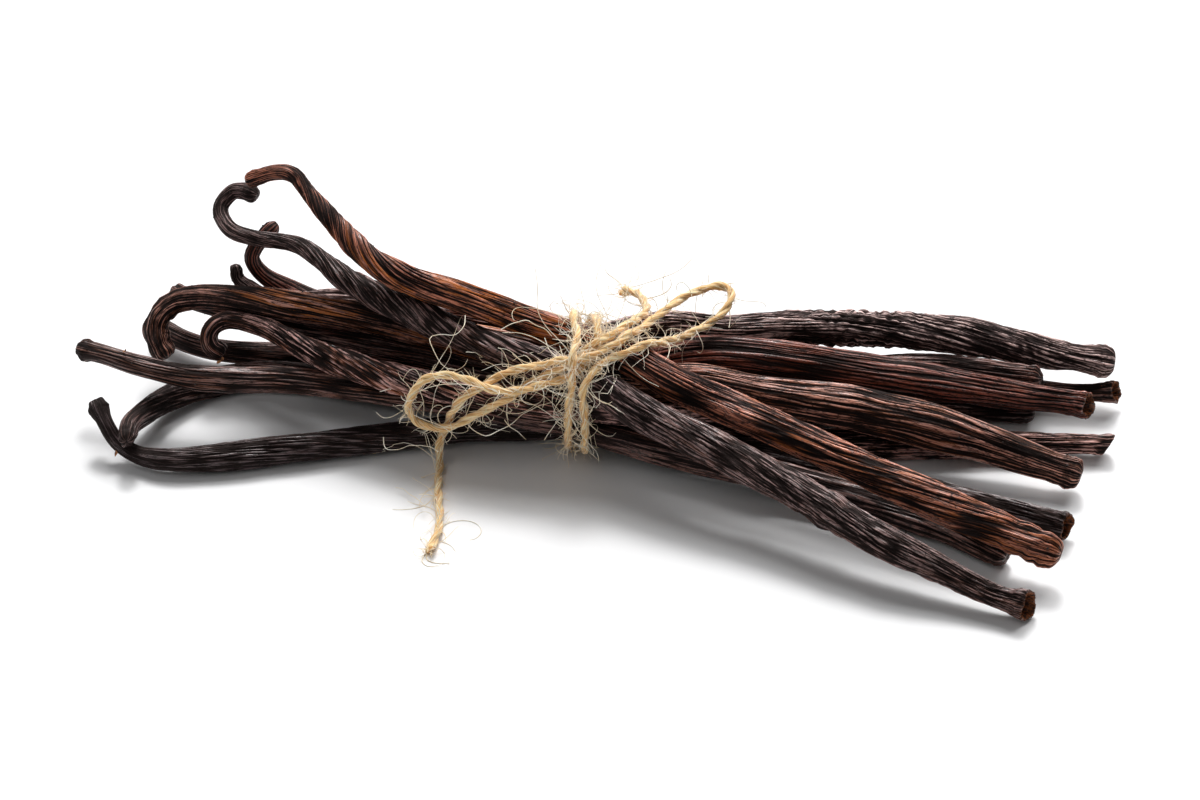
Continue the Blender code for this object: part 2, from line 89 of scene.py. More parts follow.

# Each pod: the points that its middle line runs through, from the stem end to the blossom end, and its
# diameters, as its solid has them: knob at the stem end, stalk, from slim to grown along it, then body
# (left, right), neck and tip, and a bulge (where, how far, how much more). Then its skin:
# ridges (how many, how long, how deep), smoothStem (their strength at the stem), folds (how many, how
# deep), twists (where, over what length, turns), crossFolds (where, how far, depth),
# rings (where, width, height), lumps (where, how far, height) and cutBack, the slant of the blossom end.
# Then its colours: painted shade in the creases (dark), the skin, a painted highlight on the ridge
# tops (crest) and warm streaks, and how warm it is at the stem, at the left and at the right.
pods = [dict(
    name="pod_01", spine=[
        (-68.5, 18, 40), (-64, 19, 41.5), (-60.5, 19, 41.5), (-57, 16.5, 39.5), (-50.5, 11, 36.5),
        (-40, 4.5, 32), (-22.5, 2.5, 26.5), (-10.5, 2, 23.5), (0, 1, 20.5), (11.5, -2.5, 19),
        (23, -6, 17.5), (43, -13, 14.5), (61.5, -19.5, 11.5), (79.5, -25, 8.5), (91, -28.5, 7),
    ],
    knob=3.2, stalk=2.7, grown=46, body=(5.7, 6.8), neck=5.8, tip=5.6,
    ridges=(26, 20, 0.52), smoothStem=0.6, folds=(5, 0.42),
    twists=[(24, 12, 0.55), (150, 30, -0.2)], crossFolds=[(12, 5, 0.18)], rings=[(172, 3.0, 0.22)],
    lumps=[(170, 7, 0.45)],
    skin=(0.032, 0.01, 0.0072), crest=(0.627, 0.212, 0.122), streak=(0.55, 0.15, 0.025),
    warmth=(0.1, 1.8, 0.6),
), dict(
    name="pod_02", spine=[
        (-69.5, 21.5, 34.5), (-73, 22, 34.5), (-75.5, 19, 32), (-72.5, 15, 30), (-68, 14.5, 29),
        (-59.5, 15.5, 27.5), (-46.5, 7.5, 25.5), (-36.5, 3.5, 24), (-22, 0, 21.5), (-10, -3.5, 20),
        (1.5, -7, 18.5), (12.5, -12.5, 17), (24.5, -17, 15), (38.5, -22.5, 12.5), (59.5, -32, 8.5),
        (72, -36, 6), (80.5, -38.5, 4), (87, -40, 3.5),
    ],
    knob=3.3, stalk=2.7, slim=22, grown=58, body=(6.2, 6.4), neck=3.8, tip=5.4,
    ridges=(36, 9, 0.5), smoothStem=0.3,
    twists=[(45, 25, 0.6), (130, 30, 0.15)], rings=[(147, 1.6, 0.35)], lumps=[(147, 5, 0.3)],
    blossomEnd="open", cutBack=(0.05, -0.3, 0.2),
    skin=(0.0126, 0.0066, 0.00648), crest=(0.289, 0.175, 0.164), streak=(0.22, 0.07, 0.025),
    warmth=(0.1, 0.25, 0.3),
), dict(
    name="pod_03", spine=[
        (-66, 21.5, 27), (-67.5, 19, 26), (-69, 16, 23.5), (-68, 15.5, 20.5), (-65, 14.5, 18),
        (-59, 15, 15.5), (-33.5, 14, 12.5), (-12.5, 10, 11), (-1.5, 9.5, 11), (8.5, 11.5, 11),
        (25, 11.5, 13.5), (38, 12, 14), (55, 13.5, 12.5), (79, 17, 9), (94.5, 18, 7),
    ],
    knob=3.0, stalk=2.5, grown=44, body=(5.6, 7.2), neck=5.2, tip=5.2,
    ridges=(24, 40, 0.5), smoothStem=0.4, folds=(5, 0.35),
    twists=[(40, 20, 0.2)], blossomEnd="open", cutBack=(0.05, -0.45, 0.35),
    skin=(0.0165, 0.00468, 0.00385), crest=(0.34, 0.11, 0.0804), streak=(0.33, 0.07, 0.022),
    warmth=(0.6, 0.6, 0.6),
), dict(
    name="pod_04", spine=[
        (-72, 14.5, 21), (-71.5, 13.5, 19), (-68, 12.5, 17.5), (-59, 13, 16.5), (-32.5, 12, 17.5),
        (-12, 8, 18), (-1, 8.5, 17.5), (10, 16, 15), (25, 19, 15), (38.5, 22, 15.5),
        (53.5, 25.5, 14.5), (72, 28.5, 12.5), (86, 29.5, 10), (97, 30, 9),
    ],
    knob=2.4, stalk=2.0, grown=38, body=(5.4, 6.4), bulge=(66, 20, 0.8), neck=6.0, tip=5.8,
    ridges=(30, 17, 0.5), smoothStem=0.4, folds=(6, 0.3),
    twists=[(150, 25, 0.2)], crossFolds=[(128, 13, 0.8), (160, 9, 0.25)],
    rings=[(4, 1.5, 0.5), (171.5, 2.5, -0.3), (175.8, 1.3, 0.3)], lumps=[(3, 4, 0.5)],
    stemEnd="torn", blossomEnd="knob",
    # this pod's skin and crest colours are several times lighter than the others': painted light on the
    # pod that faces the lamps
    skin=(0.076, 0.0448, 0.0432), crest=(0.9, 0.626, 0.58), streak=(0.25, 0.08, 0.035),
    warmth=(0.2, 0.5, 0.2),
), dict(
    name="pod_05", spine=[
        (-84, 3, 7.5), (-86, 4.5, 10), (-86, 7, 13), (-83.5, 9.5, 15), (-78.5, 10.5, 16.5),
        (-68, 9.5, 17.5), (-53, 7, 19), (-37, 5.5, 18.5), (-23, 4.5, 17), (-11, 2.5, 16.5),
        (0, 0, 16), (10.5, -0.5, 15), (22.5, 0, 14.5), (50.5, 2, 12), (74.5, 1.5, 8),
        (93.5, -1, 4.5),
    ],
    knob=4.4, stalk=4.3, grown=40, body=(5.8, 7.4), bulge=(61, 22, 1.2), neck=5.8, tip=5.3,
    ridges=(36, 26, 0.46), smoothStem=0.4, folds=(6, 0.35),
    twists=[(30, 25, 0.12)], crossFolds=[(8, 6, 0.2)],
    rings=[(5, 2.0, 0.3), (0, 1.6, 0.3), (187, 2.2, -0.25), (191.5, 1.4, 0.25)],
    lumps=[(6, 8, 0.45)], stemEnd="torn",
    skin=(0.0165, 0.00605, 0.00468), crest=(0.675, 0.31, 0.232), streak=(0.45, 0.13, 0.025),
    warmth=(0.3, 1.4, 0.4),
), dict(
    name="pod_06", spine=[
        (-86, 19, 11), (-80, 15, 12), (-67, 12, 12), (-32, 7, 12), (-11.5, 4, 12.5), (-0.5, 3, 13),
        (10, 5, 10.5), (24, 9.5, 7.5), (39.5, 15, 8), (59, 20, 9.5), (84.5, 22, 8.5),
    ],
    knob=3.6, stalk=3.4, grown=30, body=(5.4, 6.0), neck=4.6, tip=4.6,
    ridges=(24, 20, 0.46), smoothStem=0.5,
    stemEnd="cut", blossomEnd="torn", cutBack=(0.0, -0.2, 0.35),
    skin=(0.0218, 0.0078, 0.0078), crest=(0.306, 0.161, 0.139), streak=(0.3, 0.09, 0.04),
    warmth=(0.5, 0.6, 0.5),
), dict(
    name="pod_07", spine=[
        (-90, 17, 3.5), (-80, 12, 3.5), (-67.5, 11.5, 3.5), (-53.5, 12, 3.5), (-33, 10.5, 4),
        (-12, 5.5, 5.5), (-1, 4.5, 6), (9.5, 8.5, 5.5), (39, 19.5, 3.5), (77.5, 25.5, 3),
        (93, 26, 4), (99.5, 27, 4.5),
    ],
    knob=3.8, stalk=4.0, grown=30, body=(5.2, 5.8), neck=3.0, tip=4.2,
    ridges=(23, 20, 0.46), smoothStem=0.5,
    stemEnd="cut", blossomEnd="open", cutBack=(0.05, -0.45, 0.35),
    skin=(0.0172, 0.00678, 0.00678), crest=(0.272, 0.139, 0.117), streak=(0.28, 0.09, 0.035),
    warmth=(0.3, 0.4, 0.35),
), dict(
    name="pod_08", spine=[
        (-72.5, 2, 10), (-74.5, 2.5, 11.5), (-74.5, 4, 14), (-72, 6.5, 15.5), (-68, 6.5, 16),
        (-64, 4.5, 16), (-55, -1.5, 16), (-46, -5.5, 16), (-30.5, -9, 15.5), (-9, -8.5, 13.5),
        (1.5, -8, 13), (11.5, -5.5, 11.5), (22.5, -2, 8.5), (41, 1, 4), (56, 4, 3),
        (81, 8.5, 3), (99, 11.5, 3),
    ],
    knob=3.4, stalk=3.1, slim=10, grown=38, body=(5.2, 5.4), neck=3.8, tip=4.2,
    ridges=(28, 11, 0.52), smoothStem=0.3, folds=(6, 0.3),
    twists=[(45, 22, 0.4)], crossFolds=[(38, 6, 0.16)], stemEnd="torn", blossomEnd="cut",
    cutBack=(0.0, -0.4, -0.5),
    skin=(0.0155, 0.00625, 0.006), crest=(0.76, 0.425, 0.376), streak=(0.36, 0.1, 0.03),
    warmth=(0.9, 0.7, 0.3),
), dict(
    name="pod_09", spine=[
        (-97, -6.5, 13.5), (-92.5, -7.5, 13.5), (-85, -8.5, 12.5), (-73.5, -9, 11.5),
        (-54.5, -6, 11), (-34.5, -6.5, 10.5), (-9.5, -6, 9), (1, -7, 8), (12, -7, 6.5),
        (22.5, -9, 5.5), (43, -12, 4), (70, -19.5, 3), (81.5, -25.5, 3),
    ],
    knob=4.3, stalk=3.3, grown=30, body=(4.8, 5.6), neck=4.8, tip=4.8,
    ridges=(24, 20, 0.42), smoothStem=0.4,
    rings=[(30, 1.5, 0.12)],
    skin=(0.013, 0.00525, 0.00525), crest=(0.256, 0.131, 0.11), streak=(0.28, 0.09, 0.03),
    warmth=(0.45, 0.45, 0.25),
), dict(
    name="pod_10", spine=[
        (-83.5, -25, 7), (-84.5, -21, 6.5), (-83.5, -14.5, 5.5), (-81, -7, 4), (-75.5, 0.5, 3),
        (-64, 5.5, 3), (-37, 3.5, 4.5), (-10.5, -1, 8.5), (0, -1, 10), (10.5, 2, 7.5), (25, 7, 4.5),
        (59.5, 17, 3), (83.5, 19.5, 3),
    ],
    knob=3.4, stalk=3.9, grown=34, body=(5.4, 5.4), neck=5.0, tip=4.6,
    ridges=(24, 17, 0.44), smoothStem=0.6, folds=(6, 0.35),
    twists=[(25, 20, 0.2)], crossFolds=[(20, 8, 0.15)],
    skin=(0.0132, 0.0057, 0.0057), crest=(0.204, 0.125, 0.117), streak=(0.22, 0.075, 0.03),
    warmth=(0.2, 0.3, 0.25),
), dict(
    name="pod_11", spine=[
        (-91, -18, 9), (-88.5, -20.5, 7.5), (-85.5, -22, 4.5), (-81.5, -23.5, 3), (-77.5, -24.5, 3),
        (-71.5, -23.5, 3), (-52, -16, 3), (-30.5, -8.5, 3.5), (-10.5, -2.5, 5), (0.5, -2.5, 6),
        (11, -3, 5.5), (42, -6, 4), (69.5, -10.5, 3.5), (92.5, -16, 3.5),
    ],
    knob=3.9, stalk=2.7, slim=4, grown=36, body=(5.4, 5.4), neck=4.8, tip=5.0,
    ridges=(32, 12, 0.42), smoothStem=0.3,
    twists=[(60, 25, 0.2)], blossomEnd="open", cutBack=(0.0, -0.2, 0.1),
    skin=(0.0096, 0.0048, 0.0048), crest=(0.104, 0.0736, 0.0773), streak=(0.14, 0.05, 0.028),
    warmth=(0.05, 0.15, 0.2),
)]
pods = [{**usualPod, **pod} for pod in pods]

# How the pods are laid, as their solids are.
laying = dict(
    samples=96, podGap=0.45, floorGap=0.02,
    bodyChange=(0.3, 0.4),  # where the left body becomes the right, and over how much of the pod
    tiePinch=0.08, tiePinchReach=7.0, knobLength=2.2, neckLength=26.0, neckStart=0.15, flareLength=2.6,
    rounds=260, spreadReach=5.0, lookEvery=10, lookAbout=3.0,
    freeRounds=12,  # the last rounds, with nothing smoothed
    pushMore=1.5,  # makes up for what the smoothing takes from a push
)


# A smooth line through all the points, with the given count of pieces between two of them.
def smoothCurve(points, pieces=16):
    p = np.array(points, float)
    t = np.concatenate(([0.0], np.cumsum(np.linalg.norm(np.diff(p, axis=0), axis=1) ** 0.5)))
    slope = np.gradient(p, t, axis=0)
    line = []
    u = np.linspace(0.0, 1.0, pieces, endpoint=False)[:, None]
    for i in range(len(p) - 1):
        h = t[i + 1] - t[i]
        line.append(
            (2 * u**3 - 3 * u**2 + 1) * p[i]
            + (u**3 - 2 * u**2 + u) * h * slope[i]
            + (3 * u**2 - 2 * u**3) * p[i + 1]
            + (u**3 - u**2) * h * slope[i + 1]
        )
    line.append(p[-1:])
    return np.vstack(line)


def distanceAlong(line):
    return np.concatenate(([0.0], np.cumsum(np.linalg.norm(np.diff(line, axis=0), axis=1))))


def pointsAt(line, places):
    s = distanceAlong(line)
    return np.column_stack([np.interp(places, s, line[:, k]) for k in range(line.shape[1])])


def evenly(line, count):
    return pointsAt(line, np.linspace(0.0, distanceAlong(line)[-1], count))


def ease(x, start=0.0, over=1.0):
    x = np.clip((x - start) / over, 0.0, 1.0)
    return x * x * (3 - 2 * x)


def bump(x):
    return np.exp(-(x**2))


def headingsOf(points):
    heading = np.gradient(points, axis=0)
    return heading / np.linalg.norm(heading, axis=1)[:, None]


# Two crosswise directions at each point, carried along the line without twisting.
def framesAlong(points):
    heading = headingsOf(points)
    side = np.cross(heading[0], (0.3, 0.2, 1.0))
    sides = []
    for h in heading:
        side = side - h * float(side @ h)
        side = side / np.linalg.norm(side)
        sides.append(side)
    sides = np.array(sides)
    return sides, np.cross(heading, sides)


noiseAngles = np.random.default_rng(11).uniform(0, 2 * math.pi, 4096)


# Smooth noise from about -1 to 1 on a sheet that joins up after a whole number of cells across.
def sheetNoise(x, y, cells, seed):
    column = np.floor(x).astype(np.int64)
    row = np.floor(y).astype(np.int64)
    fx = x - column
    fy = y - row
    sx = fx**3 * (fx * (6 * fx - 15) + 10)
    sy = fy**3 * (fy * (6 * fy - 15) + 10)
    total = 0.0
    for i in (0, 1):
        for j in (0, 1):
            key = (((column + i) % cells) * 7919 + (row + j) * 104729 + seed * 1299709) % 1000003
            angle = noiseAngles[key * 2654435 % 4096]
            value = np.cos(angle) * (fx - i) + np.sin(angle) * (fy - j)
            total = total + (sx if i else 1 - sx) * (sy if j else 1 - sy) * value
    return total * 1.5


# Unevenness along a line: how long a wave is, and how high.
def uneven(s, look, seed):
    long, high = look
    return 1 + high * sheetNoise(s / long, s * 0 + 0.5, 9999, seed)


# Waves on a pod or a ply: how many go round it, how long one is and how high.
def waves(a, s, look, seed):
    cells, long, high = look
    return high * sheetNoise(a * cells, s / long, cells, seed)


# The directions at an angle, from the two crosswise ones.
def outwards(angle, across, up):
    return np.cos(angle)[..., None] * across + np.sin(angle)[..., None] * up


# Where a skin's texture is: round a tube of the given radius, and along it.
def rolledOut(a, s, radius):
    return np.stack([np.cos(a * 2 * math.pi) * radius, np.sin(a * 2 * math.pi) * radius, s], axis=2)


def podRadius(pod, s, length, x):
    left, right = pod["body"]
    body = left + (right - left) * ease(s / length, *laying["bodyChange"])
    grown = ease(s, pod["slim"], pod["grown"] - pod["slim"])
    width = pod["stalk"] + (body - pod["stalk"]) * grown
    width = width + (pod["knob"] - pod["stalk"]) * bump(s / laying["knobLength"])
    width = width * (1 - laying["tiePinch"] * bump(x / laying["tiePinchReach"]))
    at, reach, more = pod["bulge"]
    width = width + more * bump((x - at) / reach)
    toEnd = length - s
    width = width + (pod["neck"] - width) * (1 - ease(toEnd / laying["neckLength"] - laying["neckStart"]))
    width = width + (pod["tip"] - pod["neck"]) * bump(toEnd / laying["flareLength"])
    return width / 2


def podRadii(line, pod):
    s = distanceAlong(line)
    return podRadius(pod, s, s[-1], line[:, 0])


# Smooths moves along a line by a bell curve of the reach, cut off at 2.4 times the reach.
def smoothed(move, step, reach):
    beside = int(math.ceil(2.4 * reach / step))
    kernel = bump(np.arange(-beside, beside + 1) * step / reach)
    kernel /= kernel.sum()
    padded = np.pad(move, ((beside, beside), (0, 0)), mode="edge")
    return np.column_stack([np.convolve(padded[:, k], kernel, mode="valid") for k in range(3)])


# Moves the pods' lines until no two pods touch and none is under the floor.
def spreadPods(lines, radii):
    count, samples, _ = lines.shape
    owner = np.repeat(np.arange(count), samples)
    r = radii.reshape(-1)
    here = lines.reshape(-1, 3).copy()
    step = distanceAlong(lines[0])[-1] / (samples - 1)
    for turn in range(laying["rounds"]):
        if turn % laying["lookEvery"] == 0:
            apart = np.linalg.norm(here[:, None] - here[None], axis=2)
            near = (apart < r[:, None] + r[None] + laying["lookAbout"]) & (owner[:, None] < owner[None])
            first, second = np.nonzero(near)
        way = here[second] - here[first]
        apart = np.linalg.norm(way, axis=1)
        want = r[first] + r[second] + laying["podGap"]
        push = np.maximum(want - apart, 0.0)[:, None] * way / apart[:, None] * 0.5
        move = np.zeros_like(here)
        hits = np.zeros(len(here))
        np.add.at(move, first, -push)
        np.add.at(move, second, push)
        np.add.at(hits, first, push.any(axis=1))
        np.add.at(hits, second, push.any(axis=1))
        move /= np.maximum(hits, 1.0)[:, None] ** 0.5
        move[:, 2] += np.maximum(r + laying["floorGap"] - here[:, 2], 0.0)
        if turn < laying["rounds"] - laying["freeRounds"]:
            for k in range(count):
                rows = slice(k * samples, (k + 1) * samples)
                move[rows] = smoothed(move[rows], step, laying["spreadReach"]) * laying["pushMore"]
        here += move
    return here.reshape(count, samples, 3)


podLines = np.array([evenly(smoothCurve(pod["spine"]), laying["samples"]) for pod in pods])
podWidths = np.array([podRadii(line, pod) for line, pod in zip(podLines, pods)])
podLines = spreadPods(podLines, podWidths)
print("pods laid")

# The twine's free stretches: from the cut end behind the bundle round the left loop to the first turn,
# over the knot, and from the second turn round the right loop to the cut end on the floor.
tailAndLeftLoop = [
    (3, 22, 20), (5, 20.5, 21), (7, 18.5, 22), (9, 14.5, 23), (10, 9.5, 24), (9, 4.5, 25.5), (7, 0, 26),
    (5.5, -3, 26), (3.5, -4.5, 26), (1.5, -5.5, 24.5), (0, -7.5, 23.5), (-2.5, -9, 22.5),
    (-5.5, -10, 21), (-9.5, -10.5, 18.5), (-12, -12, 17), (-15, -12.5, 15), (-18, -13, 13),
    (-21, -13.5, 11), (-24, -13.5, 9.5), (-27, -13.5, 9), (-30, -13.5, 10), (-31.5, -13, 12.5),
    (-30.5, -13.5, 16), (-28.5, -12.5, 19), (-24.5, -11.5, 20), (-20.5, -11.5, 19.5), (-18, -12, 19),
    (-15.5, -12.5, 18.5), (-11.5, -12.5, 18.5), (-8, -12, 19.5), (-4, -11, 21), (-1.5, -10.5, 21.5),
    (0, -9, 22), (2, -6, 22.5), (3.5, -3.5, 24),
]
band = [
    (-0.5, -11.5, 20.5), (-0.5, -11.5, 22.5), (-0.5, -10.5, 24.5), (-0.5, -9.5, 25.5), (-0.5, -7.5, 26),
    (-0.5, -4.5, 26.5),
]
rightLoopAndTail = [
    (2.5, -11, 21), (3, -10, 22.5), (4, -8, 23), (5.5, -6, 24), (8, -5.5, 24.5), (10, -5, 25.5),
    (12, -3, 25), (13.5, 0, 23.5), (15, 3, 22.5), (17, 6.5, 21), (19, 9.5, 20.5), (22, 13.5, 20.5),
    (24, 16, 21.5), (25, 18.5, 22.5), (24.5, 21.5, 23), (22, 22.5, 23), (20, 22, 22.5), (16.5, 18, 23),
    (13, 11, 23.5), (10, 4, 24.5), (7.5, -2, 25.5), (5, -5, 25), (2.5, -7.5, 24.5), (0.5, -8.5, 24.5),
    (-1, -9, 24), (-3.5, -9, 23.5), (-6, -9, 22.5), (-9, -9, 22), (-14, -9.5, 20), (-17, -10.5, 18),
    (-20, -12, 16.5), (-22, -13, 14.5), (-23.5, -12.5, 11.5), (-24.5, -12, 8.5), (-25.5, -12, 6),
    (-26, -12.5, 3), (-25.5, -14, 1), (-24.5, -20, 1), (-22.5, -28, 1), (-21.5, -33.5, 1),
    (-21.5, -37, 1), (-22, -41, 1),
]


twineLooks = dict(
    diameter=1.6,
    gap=0.55,  # between the twine and the pods
    strandGap=0.4,  # between two strands of the twine
    fine=1.5, settleRounds=120, settleReach=2.2,
    # the two turns: where along the bundle each begins and ends, and the angles in degrees
    firstTurn=(2.3, -3.2), secondTurn=(-2.1, 0.0),
    turnSkew=10.0, turnFrom=-10.0, turnTo=280.0, turnSettled=200.0, turnPoints=25,
    crossingAt=108.0, crossingReach=50.0,
    plies=2, plyWidth=1.12, plySides=14, plyStep=0.36,
    plyApart=1.15,  # the plies stand this much farther out than they need to
    plyPitch=9.5,
    pitchWander=(21, 0.18), swelling=(6, 0.13),
    strands=(7, 5, 1.0), strandPitch=2.6, strandDepth=0.16,
    plyFray=0.35, frayReach=1.6,  # how far the plies part at a cut end
    closing=0.5,  # the length over which a ply narrows to a point at a cut end
)


# How far each point has to move to be the wanted distance from the other that it is most too near to;
# counts says which pairs matter.
def pushedOff(points, others, wanted, counts=True):
    way = points[:, None] - others[None]
    apart = np.maximum(np.linalg.norm(way, axis=2), 1e-9)
    short = np.where(counts, wanted - apart, 0.0)
    worst = short.argmax(axis=1)
    row = np.arange(len(points))
    return way[row, worst] / apart[row, worst][:, None] * np.maximum(short[row, worst], 0.0)[:, None]


# One turn of twine, pulled tight round the pods; ride lifts it where it crosses another.
def tautTurn(begins, ends, ride):
    look = twineLooks
    skew = math.radians(look["turnSkew"])
    along = np.array((math.cos(skew), math.sin(skew), 0.0))
    back = np.array((-math.sin(skew), math.cos(skew), 0.0))
    up = np.array((0.0, 0.0, 1.0))
    points = []
    for degrees in np.linspace(look["turnFrom"], look["turnTo"], look["turnPoints"]):
        x = begins + (ends - begins) * ease(degrees / look["turnSettled"])
        angle = math.radians(degrees)
        outward = math.sin(angle) * back + math.cos(angle) * up
        lift = ride * bump((degrees - look["crossingAt"]) / look["crossingReach"])
        farthest = None
        for line, radius in zip(podLines, podWidths):
            place = line @ along
            middle = np.array([np.interp(x, place, line[:, k]) for k in range(3)])
            r = np.interp(x, place, radius)
            reach = float(middle @ outward) + r
            if farthest is None or reach > farthest:
                farthest = reach
                point = middle + outward * (r + look["diameter"] / 2 + look["gap"] + lift)
        points.append(point)
    return points


# Moves the twine's line until it clears the pods, the floor and its own other strands.
def settleTwine(line):
    look = twineLooks
    clear = podWidths.reshape(-1) + look["diameter"] / 2 + look["gap"]
    step = distanceAlong(line)[-1] / (len(line) - 1)
    number = np.arange(len(line))
    # nearer than this along the twine, two points are on the same strand
    elsewhere = np.abs(number[:, None] - number[None]) * step > 4 * look["diameter"]
    lowest = look["diameter"] / 2 + laying["floorGap"]
    here = line.copy()
    for turn in range(look["settleRounds"]):
        move = pushedOff(here, podLines.reshape(-1, 3), clear)
        move += pushedOff(here, here, look["diameter"] + look["strandGap"], elsewhere) * 0.5
        move[:, 2] += np.maximum(lowest - here[:, 2] - move[:, 2], 0.0)
        if turn < look["settleRounds"] - laying["freeRounds"]:
            move = smoothed(move, step, look["settleReach"])
        here += move
    return here


def layTwine():
    look = twineLooks
    route = (
        tailAndLeftLoop
        + tautTurn(*look["firstTurn"], 0.0)
        + band
        + tautTurn(*look["secondTurn"], look["diameter"] + look["strandGap"])
        + rightLoopAndTail
    )
    smooth = smoothCurve(route)
    count = int(distanceAlong(smooth)[-1] / look["fine"])
    return settleTwine(evenly(smooth, count))


# A closed tube with no seam: points has a row for each ring, and the end rings meet in a point.
# The layers are numbers or vectors kept on the mesh for its material.
def skinTube(name, points, layers):
    rings, around, _ = points.shape
    around -= 1
    bm = bmesh.new()
    bmesh.ops.create_grid(bm, x_segments=around, y_segments=rings - 1, size=1.0)
    mesh = bpy.data.meshes.new(name)
    bm.to_mesh(mesh)
    mesh.vertices.foreach_set("co", (points.reshape(-1, 3) * mm).astype(np.float32).ravel())
    for layer, values in layers.items():
        kind, field = ("FLOAT_VECTOR", "vector") if values.ndim == 3 else ("FLOAT", "value")
        kept = mesh.attributes.new(layer, kind, "POINT")
        kept.data.foreach_set(field, values.astype(np.float32).ravel())
    bm.clear()
    bm.from_mesh(mesh)
    bmesh.ops.remove_doubles(bm, verts=bm.verts[:], dist=1e-7)
    bmesh.ops.recalc_face_normals(bm, faces=bm.faces[:])
    bm.to_mesh(mesh)
    bm.free()
    mesh.shade_smooth()
    return addObject(name, mesh)


# One object made of several, which are removed.
def joined(name, pieces):
    bm = bmesh.new()
    for piece in pieces:
        bm.from_mesh(piece.data)
        bpy.data.objects.remove(piece, do_unlink=True)
    whole = meshObject(name, bm)
    whole.data.shade_smooth()
    return whole


# One ply: a strand wound round the twine's line, thicker and thinner as it goes.
def buildPly(line, number):
    look = twineLooks
    length = distanceAlong(line)[-1]
    s = np.linspace(0.0, length, int(length / look["plyStep"]))
    middle = pointsAt(smoothCurve(line, 4), s)
    across, up = framesAlong(middle)
    pitch = look["plyPitch"] * uneven(s, look["pitchWander"], 3)
    turns = np.cumsum(np.gradient(s) / pitch) + number / look["plies"]
    toCut = np.minimum(s, length - s)
    wide = look["plyWidth"] / 2 * uneven(s, look["swelling"], 20 + number)
    stand = (look["diameter"] - look["plyWidth"]) / 2 * look["plyApart"]
    stand = stand + look["plyFray"] * bump(toCut / look["frayReach"])
    angle = turns * 2 * math.pi
    wound = middle + stand[:, None] * outwards(angle, across, up)
    across, up = framesAlong(wound)
    place = s[:, None] + np.zeros(look["plySides"] + 1)
    a = np.arange(look["plySides"] + 1)[None] / look["plySides"] + 0 * place
    strand = waves(a, place, look["strands"], 40 + number)
    closing = np.sqrt(np.clip(toCut / look["closing"], 0.0, 1.0))[:, None]
    r = wide[:, None] * closing * (1 + look["strandDepth"] * strand)
    turn = a * 2 * math.pi + place / look["strandPitch"]
    points = wound[:, None] + r[:, :, None] * outwards(turn, across[:, None], up[:, None]) + tieAt
    points[:, :, 2] = np.maximum(points[:, :, 2], laying["floorGap"])
    grain = rolledOut(a, place, 1.0)
    grain[:, :, 0] += number * 7.0   # so that the plies' grain isn't the same
    return skinTube("ply", points, {"grain": grain, "strand": strand * 0.5 + 0.5})


twineLine = layTwine()
twineLength = float(distanceAlong(twineLine)[-1])
twine = joined("jute_twine", [buildPly(twineLine, k) for k in range(twineLooks["plies"])])
print("twine laid:", round(twineLength, 1), "mm")

fibreLooks = dict(
    kinds=[
        # how many, length from and to, thickness, how curly, how far they lean out
        dict(count=1100, length=(1.0, 3.0), width=0.12, curl=0.3, lean=0.45, points=5),
        dict(count=420, length=(4.0, 9.0), width=0.15, curl=0.42, lean=0.55, points=12),
        dict(count=60, length=(9.0, 20.0), width=0.165, curl=0.16, lean=0.5, points=18),
    ],
    # there are more near the knot and near a cut end: how far from it, and how much more
    nearKnot=(9.0, 2.2), nearEnd=(1.6, 5.0), knotAt=(0.0, -6.0, 22.0),
    root=0.32,  # how far out in the twine they start, as a share of its diameter
    spin=3.0, spinChange=1.3,  # how much they curl at the start, and how much that changes
    turning=0.16, droop=0.03,
    clear=0.27, overFloor=0.08,
    taper=0.45, uneven=(0.7, 1.2),
    seed=7,
    strayWidth=0.17, strayPoints=24, strayWander=(2.5, 0.35),
    # the longest loose fibres
    strays=[
        [
            (-22.6, -1.5, 27), (-22.0, -5.4, 27), (-23.2, -6.9, 26.5), (-27.5, -9.7, 27),
            (-26.7, -11.8, 26), (-24.5, -13.7, 24), (-22.1, -12.4, 22),
        ],
        [
            (-35.6, -16.9, 8), (-35.1, -18.3, 7), (-33.4, -19.3, 7), (-29.7, -18.4, 8),
            (-26.7, -19.6, 9), (-23.9, -21.7, 10),
        ],
        [
            (-19.5, -15.4, 12), (-15.8, -18.5, 12), (-12.9, -17.5, 13), (-9.8, -13.9, 14),
            (-7.5, -12.3, 15), (-4.0, -12.5, 17),
        ],
        [(-12.8, -14.3, 13), (-10.3, -15.7, 12), (-8.5, -14.1, 9)],
        [(-5.3, -13.9, 9), (-4.0, -14.6, 12), (-2.6, -13.9, 14), (-0.8, -15.4, 16)],
        [(2.3, -13.8, 15), (4.7, -14.4, 13), (7.7, -14.4, 12), (8.3, -13.4, 12)],
        [(4.4, -13.0, 17), (6.0, -11.0, 19), (6.5, -7.8, 20), (6.0, -4.7, 21)],
        [(-21.4, -6.7, 22), (-18.5, -4.4, 21), (-15.7, -3.1, 20), (-14.1, -3.5, 20)],
        [(-7.1, -3.6, 25), (-6.1, -5.2, 24), (-3.9, -6.7, 23), (-1.1, -9.5, 23), (0.6, -12.5, 24)],
        [(0.2, -17.0, 12), (2.6, -13.7, 8), (4.3, -12.5, 5), (5.0, -11.7, 4)],
        [(-37.0, -12.0, 15), (-35.4, -10.7, 15), (-34.0, -8.5, 15), (-32.0, -6.8, 15)],
        [(-29.6, -19.1, 1), (-26.0, -22.0, 1), (-22.9, -27.1, 3)],
        [(-32.2, -22.7, 1), (-30.3, -23.3, 1), (-27.6, -25.3, 1), (-24.8, -29.2, 2)],
        [(-14.2, -9.5, 30), (-10.9, -7.0, 31), (-7.8, -4.1, 28), (-5.5, -4.1, 26)],
    ],
)


